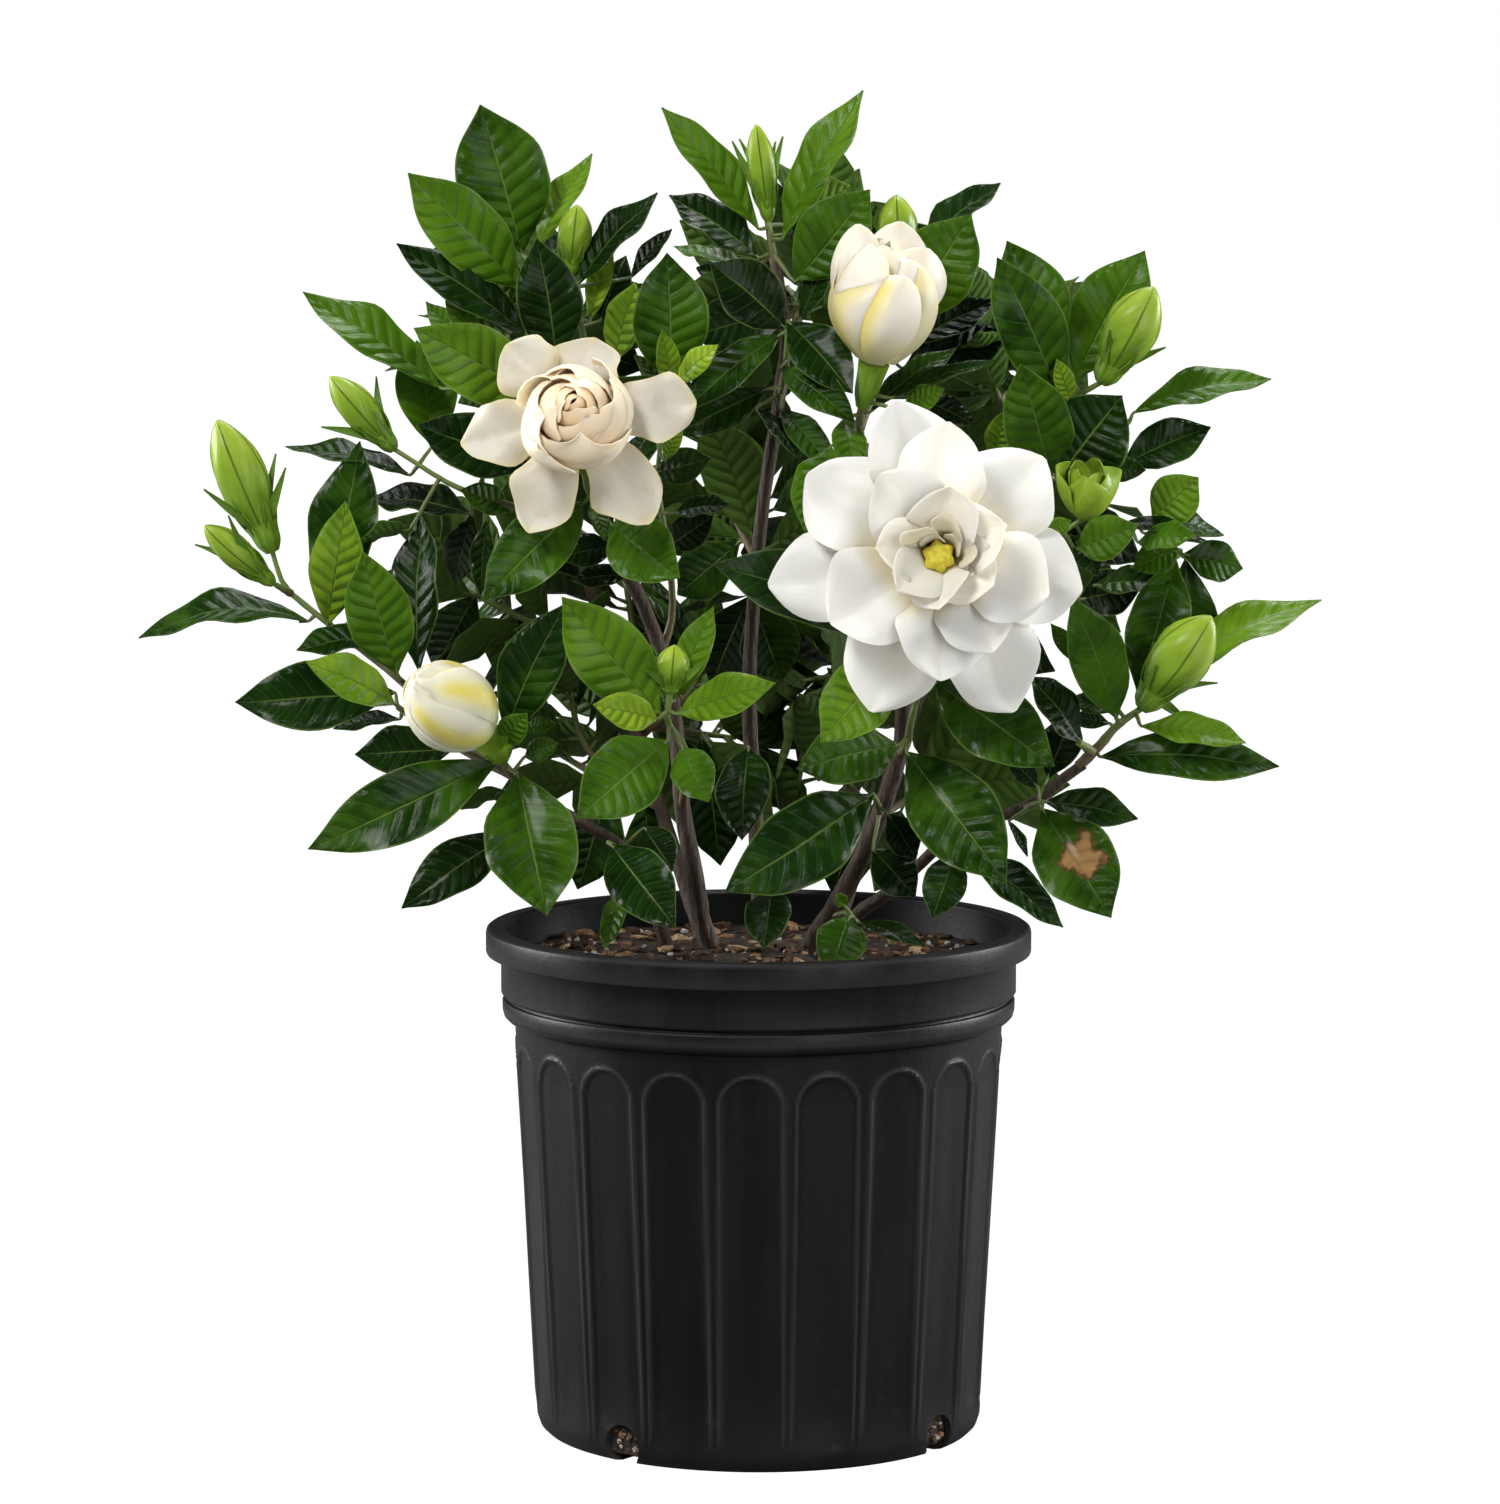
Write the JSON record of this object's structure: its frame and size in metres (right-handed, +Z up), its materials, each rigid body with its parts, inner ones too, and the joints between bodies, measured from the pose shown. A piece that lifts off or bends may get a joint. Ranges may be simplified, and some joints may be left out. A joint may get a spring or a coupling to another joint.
{
  "type": "potted flowering shrub",
  "caption": "Leafy gardenia shrub with open white and cream flowers and green buds, rooted in a round fluted black plastic nursery pot.",
  "frame": {"origin": "centre of the pot's flat underside, on the floor", "axes": "+Z up along the pot's axis, +X to the right seen from the front, -Y towards the viewer, the side with the open flowers"},
  "size_m": [0.4904, 0.3259, 0.5608],
  "materials": {
    "pot_plastic": "satin",
    "soil": "matte",
    "bark": "matte",
    "leaf": "satin",
    "bud": "satin",
    "white_petal": "matte",
    "cream_petal": "matte",
    "yellow_petal": "matte",
    "stigma": "matte"
  },
  "bodies": {
    "root": {"pot": "pot_plastic", "soil": "soil", "stem_left": "bark", "stem_right": "bark", "stem_side": "bark", "stem_centre": "bark", "stem_low_left": "bark", "stem_back_left": "bark", "stem_back_right": "bark", "white_flower_stigma": "stigma", "white_flower_inner_petals": "white_petal", "white_flower_middle_petals": "white_petal", "white_flower_outer_petals": "white_petal", "cream_flower_rolled_petals": "cream_petal", "cream_flower_spread_petals": "cream_petal", "opening_bud": "cream_petal", "ball_bud": "yellow_petal", "bud_far_left": "bud", "bud_far_left_small": "bud", "bud_left": "bud", "bud_top_left": "bud", "bud_top": "bud", "bud_behind": "bud", "bud_upper_right": "bud", "bud_low_right": "bud", "bud_front": "bud", "shoot_far_left": "leaf", "shoot_upper_left": "leaf", "shoot_top_left": "leaf", "shoot_upper_centre": "leaf", "shoot_top_centre": "leaf", "shoot_inner_centre": "leaf", "shoot_opening_bud": "leaf", "shoot_upper_right": "leaf", "shoot_right": "leaf", "shoot_right_tips": "leaf", "shoot_right_rosette": "leaf", "shoot_low_right": "leaf", "shoot_spotted_leaf": "leaf", "shoot_front_right": "leaf", "shoot_front_centre": "leaf", "shoot_side_low": "leaf", "shoot_pot_right": "leaf", "shoot_pot_centre": "leaf", "shoot_front_bud": "leaf", "shoot_ball_bud": "leaf", "shoot_low_left": "leaf", "shoot_pot_left": "leaf", "shoot_cream_flower": "leaf", "shoot_white_flower": "leaf", "back_shoot_low_left": "leaf", "back_shoot_centre_left": "leaf", "back_shoot_left": "leaf", "back_shoot_upper_left": "leaf", "back_shoot_inner": "leaf", "back_shoot_low_right": "leaf", "back_shoot_centre_right": "leaf", "back_shoot_right": "leaf", "back_shoot_upper_right": "leaf", "back_shoot_top": "leaf"}
  },
  "joints": []
}
